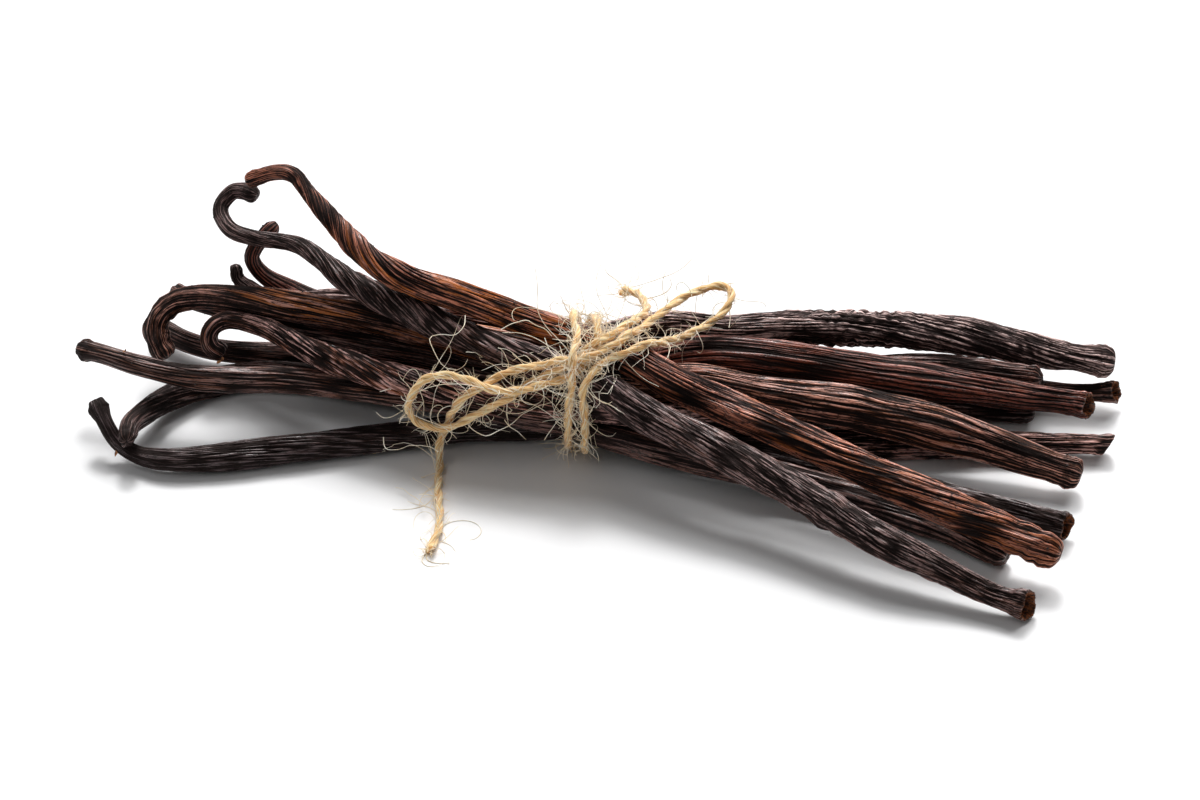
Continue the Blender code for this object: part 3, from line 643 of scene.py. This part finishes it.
# Moves points out of the pods and off the floor.
def clearOfPods(points):
    wanted = podWidths.reshape(-1) + fibreLooks["clear"]
    for turn in range(3):
        # in parts, so that the table of distances stays small
        for chunk in np.array_split(np.arange(len(points)), 24):
            points[chunk] += pushedOff(points[chunk], podLines.reshape(-1, 3), wanted)
    points[:, 2] = np.maximum(points[:, 2], fibreLooks["overFloor"])
    return points


def growFibres(kind, draw):
    look = fibreLooks
    count = kind["count"]
    steps = kind["points"]
    fine = pointsAt(twineLine, np.linspace(0, twineLength, 2400))
    heading = headingsOf(fine)
    knot = np.linalg.norm(fine - np.array(look["knotAt"]), axis=1)
    toCut = np.minimum(np.arange(len(fine)), np.arange(len(fine))[::-1]) * twineLength / len(fine)
    knotReach, knotMore = look["nearKnot"]
    endReach, endMore = look["nearEnd"]
    weight = 1.0 + bump(knot / knotReach) * knotMore + bump(toCut / endReach) * endMore
    start = draw.choice(len(fine), count, p=weight / weight.sum())
    length = draw.uniform(*kind["length"], count)
    along = heading[start] * draw.choice((-1.0, 1.0), count)[:, None]
    out = draw.normal(size=(count, 3))
    out -= (out * along).sum(axis=1)[:, None] * along
    out /= np.linalg.norm(out, axis=1)[:, None]
    here = fine[start] + out * twineLooks["diameter"] * look["root"]
    way = along * (1 - kind["lean"]) + out * kind["lean"]
    way /= np.linalg.norm(way, axis=1)[:, None]
    spin = draw.normal(size=(count, 3)) * kind["curl"] * look["spin"]
    paths = [here]
    step = (length / (steps - 1))[:, None]
    for k in range(steps - 1):
        spin += draw.normal(size=(count, 3)) * kind["curl"] * look["spinChange"]
        way = way + np.cross(spin, way) * step * look["turning"]
        way[:, 2] -= look["droop"] * step[:, 0]
        way /= np.linalg.norm(way, axis=1)[:, None]
        here = here + way * step
        paths.append(here)
    paths = np.stack(paths, axis=1)
    return clearOfPods(paths.reshape(-1, 3)).reshape(count, steps, 3) + tieAt


def buildFibres(name):
    look = fibreLooks
    draw = np.random.default_rng(look["seed"])
    curve = bpy.data.curves.new(name, "CURVE")
    curve.dimensions = "3D"
    curve.bevel_depth = mm
    curve.bevel_resolution = 0
    curve.use_fill_caps = True
    paths = [(path, kind["width"]) for kind in look["kinds"] for path in growFibres(kind, draw)]
    wave, wander = look["strayWander"]
    for stray in look["strays"]:
        path = evenly(smoothCurve(stray), look["strayPoints"])
        x = path[:, 0] / wave
        path += wander * np.column_stack([sheetNoise(x, x * 0 + k, 9999, 60 + k) for k in range(3)])
        paths.append((clearOfPods(path) + tieAt, look["strayWidth"]))
    for path, width in paths:
        spline = curve.splines.new("POLY")
        spline.points.add(len(path) - 1)
        places = np.column_stack([path * mm, np.ones(len(path))])
        spline.points.foreach_set("co", places.astype(np.float32).ravel())
        taper = width / 2 * (1 - look["taper"] * np.linspace(0, 1, len(path)) ** 2)
        spline.points.foreach_set("radius", (taper * draw.uniform(*look["uneven"])).astype(np.float32))
    return addObject(name, curve)


fibres = buildFibres("twine_fibres")
print("fibres grown")

podFineness = dict(
    grain=0.122, step=0.74,  # of the mesh, across the ridges and along them
    endStep=0.3, endReach=5.0, capRings=16, coreRings=400,
    plump=0.16,  # how far the ridge tops stand out of the solid
    oval=(0.05, 0.03), rimWave=(5, 1, 0.45),
    cutReach=4.0,  # how far from the blossom end its slant starts
    # where along a pod its left warmth begins, where in the bundle its right warmth, over what length
    warmFrom=(18, 14), warmTo=(-30, 60),
)

# The ends, from the pod's side to the middle of its end: how far out, and the share of the radius.
# A rounded end starts a little before the end of the pod's line.
endShapes = dict(
    cut=[(0, 1), (0.25, 0.97), (0.42, 0.88), (0.4, 0.7), (0.2, 0.4), (0.15, 0)],
    torn=[(0, 1), (0.4, 0.9), (0.75, 0.72), (0.8, 0.5), (1.0, 0.25), (0.8, 0)],
    button=[(-1.1, 1), (-0.3, 0.97), (0.4, 0.86), (0.9, 0.68), (1.15, 0.4), (1.05, 0)],
    knob=[(-1.2, 1), (-0.2, 1.04), (0.8, 0.97), (1.6, 0.78), (1.95, 0.5), (1.8, 0)],
    open=[
        (0, 1), (0.3, 0.99), (0.46, 0.93), (0.36, 0.86), (-0.3, 0.8), (-1.3, 0.74), (-2.2, 0.62),
        (-2.5, 0.3), (-2.5, 0),
    ],
)


# The rings of a whole pod: where on its line, how far beyond its end, share of the radius, how far
# along the skin, how far inside an open end, and how strong the wave of its rim.
def podRings(pod, length):
    fine = podFineness
    reach = fine["endReach"]
    starts = [-endShapes[pod[end]][0][0] for end in ("stemEnd", "blossomEnd")]
    first, last = (np.arange(start, reach, fine["endStep"]) for start in starts)
    count = int((length - 2 * reach) / fine["step"])
    tube = np.concatenate([first, np.linspace(reach, length - reach, count), length - last[::-1]])
    rows = []
    for shape, at, sign in ((pod["stemEnd"], 0.0, -1), (pod["blossomEnd"], length, 1)):
        outline = evenly(smoothCurve(endShapes[shape], 8), fine["capRings"])
        travel = distanceAlong(outline * (1.0, pod["tip"] / 2)) + outline[0, 0]
        inner = ease((travel - 0.2) / 0.35) if shape == "open" else 0 * travel
        rim = bump((travel - 0.5) / 0.7)
        beyond, share = outline.T
        share = np.maximum(share, 0)
        share[-1] = 0
        cap = np.column_stack([0 * travel + at, sign * beyond, share, at + sign * travel, inner, rim])
        rows.append(cap[1:])
    side = np.column_stack([tube, 0 * tube, 0 * tube + 1, tube, 0 * tube, 0 * tube])
    return np.vstack([rows[0][::-1], side, rows[1]])


# Rounded ridges with narrow creases between them, 0 in a crease and 1 on a full ridge.
def creased(x, y, cells, seed, soft):
    away = np.minimum(np.abs(sheetNoise(x, y, cells, seed)) / soft, 1.0)
    return 1 - (1 - away) ** 2


# The relief that all pods share, as waves: how many round the pod, how long, how high.
reliefLooks = dict(
    drifts=((4, 15, 0.02), (11, 6, 0.007)),  # how the ridges wander round the pod, in turns of it
    uneven=(3, 9, 0.5), dents=((3, 8, 0.2), (2, 22, 0.14)), wobble=(3, 1, 0.9), lumps=(7, 2.2, 1.0),
    crinkles=(6, 2.1), crinkleBend=(4, 4, 0.3),
    crinklePaintedShade=0.6,  # how much painted shade a cross fold's creases put on the skin
    ends=(9, 1.3, 0.3), endReach=(2.5, 3.5),
    soft=(0.62, 0.6, 0.75, 0.5),  # how wide the creases are of the ridges, fine ridges, folds and crinkles
    foldLength=34,
    fineMore=1.9, fineDepth=0.5,  # how many fine ridges lie along a ridge, and their share of its depth
)


# The height of a pod's skin, in millimetres, and how high on its ridges each place is, 0 to 1.
def podRelief(pod, a, s, length, seed):
    look = reliefLooks
    b = a + (waves(a, s, look["drifts"][0], seed + 1) + waves(a, s, look["drifts"][1], seed + 2))
    ridges, long, depth = pod["ridges"]
    folds, foldDepth = pod["folds"]
    soft, fineSoft, foldSoft, crinkleSoft = look["soft"]
    main = creased(b * ridges, s / long, ridges, seed + 3, soft)
    fine = creased(b * ridges * 2, s / long * look["fineMore"], ridges * 2, seed + 4, fineSoft)
    fold = creased(b * folds, s / look["foldLength"], folds, seed + 5, foldSoft)
    strong = pod["smoothStem"] + (1 - pod["smoothStem"]) * ease(s / pod["grown"])
    deep = depth * strong * (0.8 + waves(a, s, look["uneven"], seed + 6))
    height = deep * (main - 0.85) + deep * look["fineDepth"] * (fine - 0.6)
    height = height + foldDepth * strong * (fold - 0.9)
    for number, dents in enumerate(look["dents"]):
        height = height + waves(a, s, dents, seed + 7 + number)
    cells, wave = look["crinkles"]
    for at, reach, depth in pod["crossFolds"]:
        where = bump((s - at) / reach)
        bend = waves(a, s, look["crinkleBend"], seed + 9)
        crinkle = creased(a * cells + bend, s / wave, cells, seed + 10, crinkleSoft)
        height = height + where * depth * (crinkle - 0.8)
        # painted shade in a cross fold's creases: it lowers the ridge mask that places the colours and the
        # gloss
        dim = look["crinklePaintedShade"] * where
        main = main * (1 - dim) + dim * main * crinkle
    for at, width, tall in pod["rings"]:
        height = height + tall * bump((s - at + waves(a, s * 0, look["wobble"], seed + 11)) / width)
    for at, reach, tall in pod["lumps"]:
        height = height + tall * bump((s - at) / reach) * waves(a, s, look["lumps"], seed + 12)
    atStem, atBlossom = look["endReach"]
    ends = bump(s / atStem) + bump((length - s) / atBlossom)
    height = height + ends * waves(a, s, look["ends"], seed + 13)
    # the fine ridges stay a little below the main ones
    high = np.maximum(0.58 * main + 0.4 * fine * main, fine * (0.56 + 0.34 * main))
    return height, np.clip(high + 0.05 * fold, 0.0, 1.0)


# A row of values for each whole number, read between them.
def readRows(rows, at):
    return np.column_stack([np.interp(at, np.arange(len(rows)), rows[:, k]) for k in range(rows.shape[1])])


def buildPod(pod, line, number):
    fine = podFineness
    seed = 100 + 31 * number
    length = distanceAlong(line)[-1]
    rings = podRings(pod, length)
    place, beyond, share, travel, inner, rim = rings.T
    held = np.clip(place, 0, length)
    smooth = smoothCurve(line, 6)
    middle = pointsAt(smooth, held)
    core = pointsAt(smooth, np.linspace(0, length, fine["coreRings"]))
    at = held / length * (fine["coreRings"] - 1)
    across, up = (readRows(rows, at) for rows in framesAlong(core))
    heading = readRows(headingsOf(core), at)
    around = int(math.pi * max(pod["body"]) / fine["grain"])
    a = np.arange(around + 1)[None] / around + 0 * place[:, None]
    s = travel[:, None] + 0 * a
    height, high = podRelief(pod, a % 1.0, s, length, seed)
    turns = 0 * place
    for where, reach, amount in pod["twists"]:
        turns = turns + amount * np.tanh((place - where) / reach)
    angle = 2 * math.pi * (a + turns[:, None])
    radius = podRadius(pod, held, length, middle[:, 0]) + fine["plump"]
    two, three = fine["oval"]
    oval = 1 + two * np.cos(2 * angle + s / 17 + number) + three * np.cos(3 * angle - s / 23)
    slimness = np.minimum(radius / 2.4, 1.0)[:, None]
    r = radius[:, None] * share[:, None] * oval + height * slimness * np.minimum(share[:, None] * 1.4, 1.0)
    r = np.where(share[:, None] > 0, np.maximum(r, laying["floorGap"]), 0.0)
    out = beyond[:, None] + 0 * a
    if pod["blossomEnd"] == "open":
        out = out + rim[:, None] * waves(a % 1.0, s * 0, fine["rimWave"], seed + 20)
    radial = outwards(angle, across[:, None], up[:, None])
    nearEnd = ease((s - length + fine["cutReach"]) / fine["cutReach"])
    cutBack = r * (radial @ np.array(pod["cutBack"])) * nearEnd
    points = middle[:, None] + heading[:, None] * (out - cutBack)[:, :, None] + radial * r[:, :, None]
    points[0] = points[0].mean(axis=0)
    points[-1] = points[-1].mean(axis=0)
    points = points + tieAt
    points[:, :, 2] = np.maximum(points[:, :, 2], laying["floorGap"])
    skin = rolledOut(a, s, max(pod["body"]) / 2)
    stem, left, right = pod["warmth"]
    warm = stem + (left - stem) * ease(s[:, 0], *fine["warmFrom"])
    warm = warm + (right - left) * ease(middle[:, 0], *fine["warmTo"])
    layers = {"skin": skin, "high": high, "inner": inner[:, None] + 0 * a, "warm": warm[:, None] + 0 * a}
    return skinTube(pod["name"] + "_skin", points, layers)


podPieces = [buildPod(pod, line, number) for number, (pod, line) in enumerate(zip(pods, podLines))]
print("pods built")

bitLooks = dict(
    seeds=190, seedSize=(0.14, 0.24), seedStretch=(0.7, 1.25), seed=3,
    # dry husk left on the stem ends: where it starts, where it ends and how wide it is
    husks=[
        ((-85.2, -20.7, 6.2), (-86.0, -24.3, 2.2), 0.6),
        ((-84.6, -20.2, 5.4), (-85.0, -22.3, 3.2), 0.35),
        ((-88.6, -8.2, 15.2), (-87.4, -8.4, 16.0), 0.35),
        ((-71.8, 1.0, 9.6), (-72.2, -0.4, 8.9), 0.5),
    ],
)


# Strips of husk: flat, uneven, closed at both ends and a little bent.
def buildHusks(name):
    strips = []
    t = np.linspace(0, 1, 14)
    angle = np.linspace(0, 2 * math.pi, 11)[None]
    for start, end, width in bitLooks["husks"]:
        middle = np.array(start) + t[:, None] * (np.array(end) - np.array(start)) + tieAt
        middle[:, 0] += 0.3 * np.sin(5 * t)
        across, up = framesAlong(middle)
        closing = np.sqrt(np.clip(np.minimum(t, 1 - t) / 0.12, 0, 1))
        r = (width / 2 * closing * (1 + 0.25 * np.sin(11 * t)))[:, None, None]
        points = middle[:, None] + r * outwards(angle, across[:, None], up[:, None] / 2)
        strips.append(skinTube("husk", points, {}))
    return joined(name, strips)


def buildSeeds(name):
    draw = np.random.default_rng(bitLooks["seed"])
    bm = bmesh.new()
    for k in range(bitLooks["seeds"]):
        piece = podPieces[draw.integers(len(podPieces))]
        vertex = piece.data.vertices[int(draw.integers(len(piece.data.vertices)))]
        size = draw.uniform(*bitLooks["seedSize"]) * mm
        made = bmesh.ops.create_icosphere(bm, subdivisions=1, radius=size)["verts"]
        bmesh.ops.scale(bm, verts=made, vec=draw.uniform(*bitLooks["seedStretch"], 3))
        place = vertex.co + vertex.normal * size * 0.5  # a part of it is sunk in the skin
        place.z = max(place.z, size * 1.3)
        bmesh.ops.translate(bm, verts=made, vec=place)
    return meshObject(name, bm)


seeds = buildSeeds("loose_seeds")
husks = buildHusks("dry_husk")
print("seeds and husk added")


# Sets a socket to a number or colour, or joins a node's output to it.
def feed(tree, socket, value):
    if isinstance(value, bpy.types.NodeSocket):
        tree.links.new(value, socket)
    else:
        socket.default_value = (*value, 1.0) if socket.type == "RGBA" else value


def addNode(tree, kind, inputs=(), **settings):
    made = tree.nodes.new("ShaderNode" + kind)
    for name, value in settings.items():
        setattr(made, name, value)
    for label, value in dict(inputs).items():
        feed(tree, made.inputs[label], value)
    return made


# A new material, with the given values on its Principled's own sockets.
def newMaterial(name, sockets):
    made = bpy.data.materials.new(name)
    made.use_nodes = True
    inputs = made.node_tree.nodes["Principled BSDF"].inputs
    for label, value in sockets.items():
        feed(made.node_tree, inputs[label], value)
    return made, made.node_tree, inputs


def maths(tree, operation, *values, clamp=False):
    return addNode(tree, "Math", enumerate(values), operation=operation, use_clamp=clamp).outputs[0]


def times(tree, first, second):
    return maths(tree, "MULTIPLY", first, second)


# From the given least value, where share is 0, up to 1.
def atLeast(tree, least, share):
    return maths(tree, "ADD", least, times(tree, share, 1 - least))


def blendColours(tree, share, low, high):
    return addNode(tree, "Mix", {0: share, 6: low, 7: high}, data_type="RGBA").outputs[2]


def noise(tree, vector, scale, detail=2.0, rough=0.5):
    inputs = dict(Vector=vector, Scale=scale, Detail=detail, Roughness=rough)
    return addNode(tree, "TexNoise", inputs).outputs["Fac"]


# Noise drawn out along a pod or a ply; along is its scale that way, as a share of that across.
def longNoise(tree, vector, along, scale, detail, rough=0.6):
    drawn = addNode(tree, "Mapping", dict(Vector=vector, Scale=(1.0, 1.0, along))).outputs["Vector"]
    return noise(tree, drawn, scale, detail, rough)


def ramp(tree, value, limits):
    inputs = {"Value": value, "From Min": limits[0], "From Max": limits[1]}
    return addNode(tree, "MapRange", inputs, interpolation_type="SMOOTHSTEP").outputs["Result"]


def raised(tree, height, strength, distance):
    inputs = dict(Height=height, Strength=strength, Distance=distance * mm)
    return addNode(tree, "Bump", inputs).outputs["Normal"]


def attribute(tree, name, output):
    return addNode(tree, "Attribute", attribute_name=name).outputs[output]


def newGroup(name, inputs, outputs):
    group = bpy.data.node_groups.new(name, "ShaderNodeTree")
    for way, sockets in (("INPUT", inputs), ("OUTPUT", outputs)):
        for label, kind in sockets.items():
            group.interface.new_socket(label, in_out=way, socket_type="NodeSocket" + kind)
    return group, group.nodes.new("NodeGroupInput").outputs, group.nodes.new("NodeGroupOutput").inputs


def placeGroup(tree, group, **values):
    return addNode(tree, "Group", values, node_tree=group).outputs


# The finish that all pods share. Pairs are where an effect starts and where it is full, of the height
# on a ridge (low, top, warmHigh, crest) or of a noise.
skinFinish = dict(
    low=(0.34, 0.74), top=(0.58, 0.88),  # from the painted crease shade to the skin's colour, and to the painted highlight on the tops
    topGrain=(0.3, 0.55), topLeast=0.45, topWrinkled=0.2,
    wrinkle=20.0,  # the higher, the narrower the fine wrinkles
    # how much painted shade goes into the fine wrinkles' creases
    wrinkleDark=0.8,
    warmGrain=(0.44, 0.62), warmPatches=(0.38, 0.6), warmHigh=(0.4, 0.8),
    inside=((0.01, 0.004, 0.002), (0.24, 0.07, 0.018)), insideGrain=(0.38, 0.62),
    wet=(0.36, 0.62), crest=(0.58, 0.9), dryShine=0.75, coat=0.6,
    dry=0.78, oilSmooths=0.55,  # the roughness with no oil, and how much the oil takes off it
    bump=(0.9, 0.2),  # strength, and height in millimetres
    sockets={"Coat Roughness": 0.25, "Specular IOR Level": 0.34, "Specular Tint": (1.0, 0.74, 0.68)},
)


# The fine lengthwise wrinkles and pebbles of a cured pod's skin, too small for its mesh.
def fineWrinkleGroup():
    outputs = dict(Height="Float", Wrinkle="Float")
    group, given, put = newGroup("fineWrinkles", dict(Place="Vector"), outputs)
    lines = longNoise(group, given["Place"], 0.13, 1.9, 3.0)
    ridged = maths(group, "ABSOLUTE", maths(group, "SUBTRACT", lines, 0.5))
    ridged = maths(group, "MULTIPLY", ridged, skinFinish["wrinkle"], clamp=True)
    pebbles = noise(group, given["Place"], 3.0, 3.0, 0.6)
    feed(group, put["Height"], maths(group, "ADD", times(group, ridged, 0.6), times(group, pebbles, 0.7)))
    feed(group, put["Wrinkle"], ridged)
    return group


# The colours of a pod: painted shade in the creases and fine wrinkles, brown skin, painted highlights on
# the ridge tops, warm streaks and the inside.
def podColourGroup():
    look = skinFinish
    floats = dict.fromkeys(("High", "Wrinkle", "Inner", "Warmth"), "Float")
    colours = dict.fromkeys(("Dark", "Skin", "Crest", "Streak"), "Color")
    inputs = dict(Place="Vector", **floats, **colours)
    group, given, put = newGroup("podColours", inputs, dict(Colour="Color"))
    patches = longNoise(group, given["Place"], 0.3, 0.16, 3.0)
    grain = longNoise(group, given["Place"], 0.1, 1.5, 4.0, 0.65)
    # painted shade: the dark colour wherever the skin lies low between the ridges
    made = blendColours(group, ramp(group, given["High"], look["low"]), given["Dark"], given["Skin"])
    # painted highlight: the crest colour on the ridge tops, broken up by the grain and the fine wrinkles
    top = atLeast(group, look["topLeast"], ramp(group, grain, look["topGrain"]))
    top = times(group, ramp(group, given["High"], look["top"]), top)
    top = times(group, top, atLeast(group, look["topWrinkled"], given["Wrinkle"]))
    made = blendColours(group, top, made, given["Crest"])
    # painted shade in the creases of the fine wrinkles
    wrinkle = times(group, maths(group, "SUBTRACT", 1.0, given["Wrinkle"]), look["wrinkleDark"])
    made = blendColours(group, wrinkle, made, given["Dark"])
    warm = times(group, ramp(group, grain, look["warmGrain"]), ramp(group, patches, look["warmPatches"]))
    share = times(group, given["Warmth"], ramp(group, given["High"], look["warmHigh"]))
    made = blendColours(group, times(group, warm, share), made, given["Streak"])
    inside = noise(group, given["Place"], 1.6, 4.0, 0.6)
    flesh = blendColours(group, ramp(group, inside, look["insideGrain"]), *look["inside"])
    feed(group, put["Colour"], blendColours(group, given["Inner"], made, flesh))
    return group


# Oil on the skin: glossy in some places and dry in others.
def oilGroup():
    look = skinFinish
    inputs = dict(Place="Vector", High="Float", Dry="Float")
    group, given, put = newGroup("oil", inputs, dict(Roughness="Float", Coat="Float"))
    wet = ramp(group, longNoise(group, given["Place"], 0.35, 0.5, 3.0), look["wet"])
    shine = times(group, ramp(group, given["High"], look["crest"]), atLeast(group, look["dryShine"], wet))
    smoother = times(group, shine, look["oilSmooths"])
    feed(group, put["Roughness"], maths(group, "SUBTRACT", given["Dry"], smoother))
    feed(group, put["Coat"], times(group, shine, look["coat"]))
    return group


wrinkleGroup = fineWrinkleGroup()
colourGroup = podColourGroup()
oilSkinGroup = oilGroup()


def podMaterial(pod):
    look = skinFinish
    made, tree, inputs = newMaterial(pod["name"] + "_skin", look["sockets"])
    skin = attribute(tree, "skin", "Vector")
    high = attribute(tree, "high", "Fac")
    wrinkles = placeGroup(tree, wrinkleGroup, Place=skin)
    colours = placeGroup(
        tree, colourGroup, Place=skin, High=high, Wrinkle=wrinkles["Wrinkle"],
        Inner=attribute(tree, "inner", "Fac"), Warmth=attribute(tree, "warm", "Fac"),
        Dark=pod["dark"], Skin=pod["skin"], Crest=pod["crest"], Streak=pod["streak"],
    )
    oil = placeGroup(tree, oilSkinGroup, Place=skin, High=high, Dry=look["dry"])
    feed(tree, inputs["Base Color"], colours["Colour"])
    feed(tree, inputs["Roughness"], oil["Roughness"])
    feed(tree, inputs["Coat Weight"], oil["Coat"])
    feed(tree, inputs["Normal"], raised(tree, wrinkles["Height"], *look["bump"]))
    made.diffuse_color = (*pod["skin"], 1)
    return made


juteFinish = dict(
    dark=(0.6, 0.28, 0.085),
    straw=(0.95, 0.61, 0.27),
    # pale fibre streaks, with a painted highlight where they lie on the raised strands
    paleFibreAndPaintedHighlight=(1.0, 0.86, 0.6),
    strawLines=(0.34, 0.56), paleLines=(0.5, 0.62), paintedHighlightOnStrands=(0.1, 0.6),
    patches=(0.45, 0.7), patchShare=0.3,
    bump=(0.8, 0.14),
    # the twine lets light through to the side away from the lamp
    sockets={
        "Roughness": 0.75, "Sheen Weight": 0.5, "Subsurface Weight": 0.5,
        "Subsurface Radius": (0.9, 0.8, 0.7), "Subsurface Scale": mm,
    },
)


def juteMaterial():
    look = juteFinish
    made, tree, inputs = newMaterial("jute", look["sockets"])
    grain = attribute(tree, "grain", "Vector")
    strand = attribute(tree, "strand", "Fac")
    lines = longNoise(tree, grain, 0.13, 2.2, 4.0)
    tone = blendColours(tree, ramp(tree, lines, look["strawLines"]), look["dark"], look["straw"])
    # painted highlight: the pale colour goes on the fibre streaks of the raised strands
    share = times(tree, ramp(tree, lines, look["paleLines"]), ramp(tree, strand, look["paintedHighlightOnStrands"]))
    tone = blendColours(tree, share, tone, look["paleFibreAndPaintedHighlight"])
    share = times(tree, ramp(tree, noise(tree, grain, 0.35), look["patches"]), look["patchShare"])
    feed(tree, inputs["Base Color"], blendColours(tree, share, tone, look["straw"]))
    feed(tree, inputs["Normal"], raised(tree, lines, *look["bump"]))
    return made


# The plain finishes: the noise that mixes their two colours is (scale, detail, limits of its ramp).
plainFinishes = dict(
    jute_fibre=dict(
        noise=(260.0, 2.0, (0.35, 0.65)), colours=((0.96, 0.8, 0.55), (1.0, 0.95, 0.83)),
        sockets={"Roughness": 0.45, "Sheen Weight": 0.6, "Sheen Tint": (1.0, 0.85, 0.62)},
    ),
    seeds=dict(
        noise=(900.0, 2.0, None), colours=((0.004, 0.003, 0.003), (0.03, 0.016, 0.012)),
        sockets={"Roughness": 0.35},
    ),
    dry_husk=dict(
        noise=(1400.0, 3.0, (0.38, 0.6)), colours=((0.16, 0.05, 0.018), (0.52, 0.22, 0.08)),
        sockets={"Roughness": 0.6},
    ),
    paper=dict(
        noise=(4.0, 2.0, None), colours=((0.9, 0.9, 0.905), (0.915, 0.915, 0.92)),
        sockets={"Roughness": 0.9, "Specular IOR Level": 0.1},
    ),
)


def plainMaterial(name):
    look = plainFinishes[name]
    made, tree, inputs = newMaterial(name, look["sockets"])
    scale, detail, limits = look["noise"]
    share = noise(tree, addNode(tree, "TexCoord").outputs["Object"], scale, detail)
    if limits:
        share = ramp(tree, share, limits)
    feed(tree, inputs["Base Color"], blendColours(tree, share, *look["colours"]))
    return made


for pod, piece in zip(pods, podPieces):
    piece.data.materials.append(podMaterial(pod))
    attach(piece, "root")
    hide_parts(pod["name"])
twine.data.materials.append(juteMaterial())
fibres.data.materials.append(plainMaterial("jute_fibre"))
seeds.data.materials.append(plainMaterial("seeds"))
husks.data.materials.append(plainMaterial("dry_husk"))
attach(twine, "root")
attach(fibres, "root")
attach(seeds, "root")
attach(husks, "root")
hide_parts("twine")
print("finishes made")

stageLooks = dict(
    floorSize=3000.0,
    world=0.12,
    lamps=[
        # a wide soft light from behind, a smaller one that makes the glints, and a weak one in front
        dict(name="soft", fromWhere=(0.05, 0.70, 0.80), strength=3.4, angle=58.0),
        dict(name="key", fromWhere=(-0.10, 0.62, 0.85), strength=1.6, angle=14.0),
        dict(name="fill", fromWhere=(-0.35, -0.45, 0.80), strength=0.32, angle=50.0),
    ],
)


def addStage():
    look = stageLooks
    bm = bmesh.new()
    bmesh.ops.create_grid(bm, x_segments=1, y_segments=1, size=look["floorSize"] / 2 * mm)
    floor = meshObject("floor", bm)
    floor.data.materials.append(plainMaterial("paper"))
    for lamp in look["lamps"]:
        sun = bpy.data.lights.new(lamp["name"], "SUN")
        sun.energy = lamp["strength"]
        sun.angle = math.radians(lamp["angle"])
        turned = mathutils.Vector(lamp["fromWhere"]).to_track_quat("Z", "Y").to_euler()
        addObject(lamp["name"], sun).rotation_euler = turned
    world = bpy.data.worlds.new("world")
    world.use_nodes = True
    sky = world.node_tree.nodes["Background"]
    sky.inputs["Color"].default_value = (1.0, 1.0, 1.0, 1.0)
    sky.inputs["Strength"].default_value = look["world"]
    bpy.context.scene.world = world
    bpy.context.scene.view_settings.view_transform = "Standard"


addStage()
print("floor and light set")
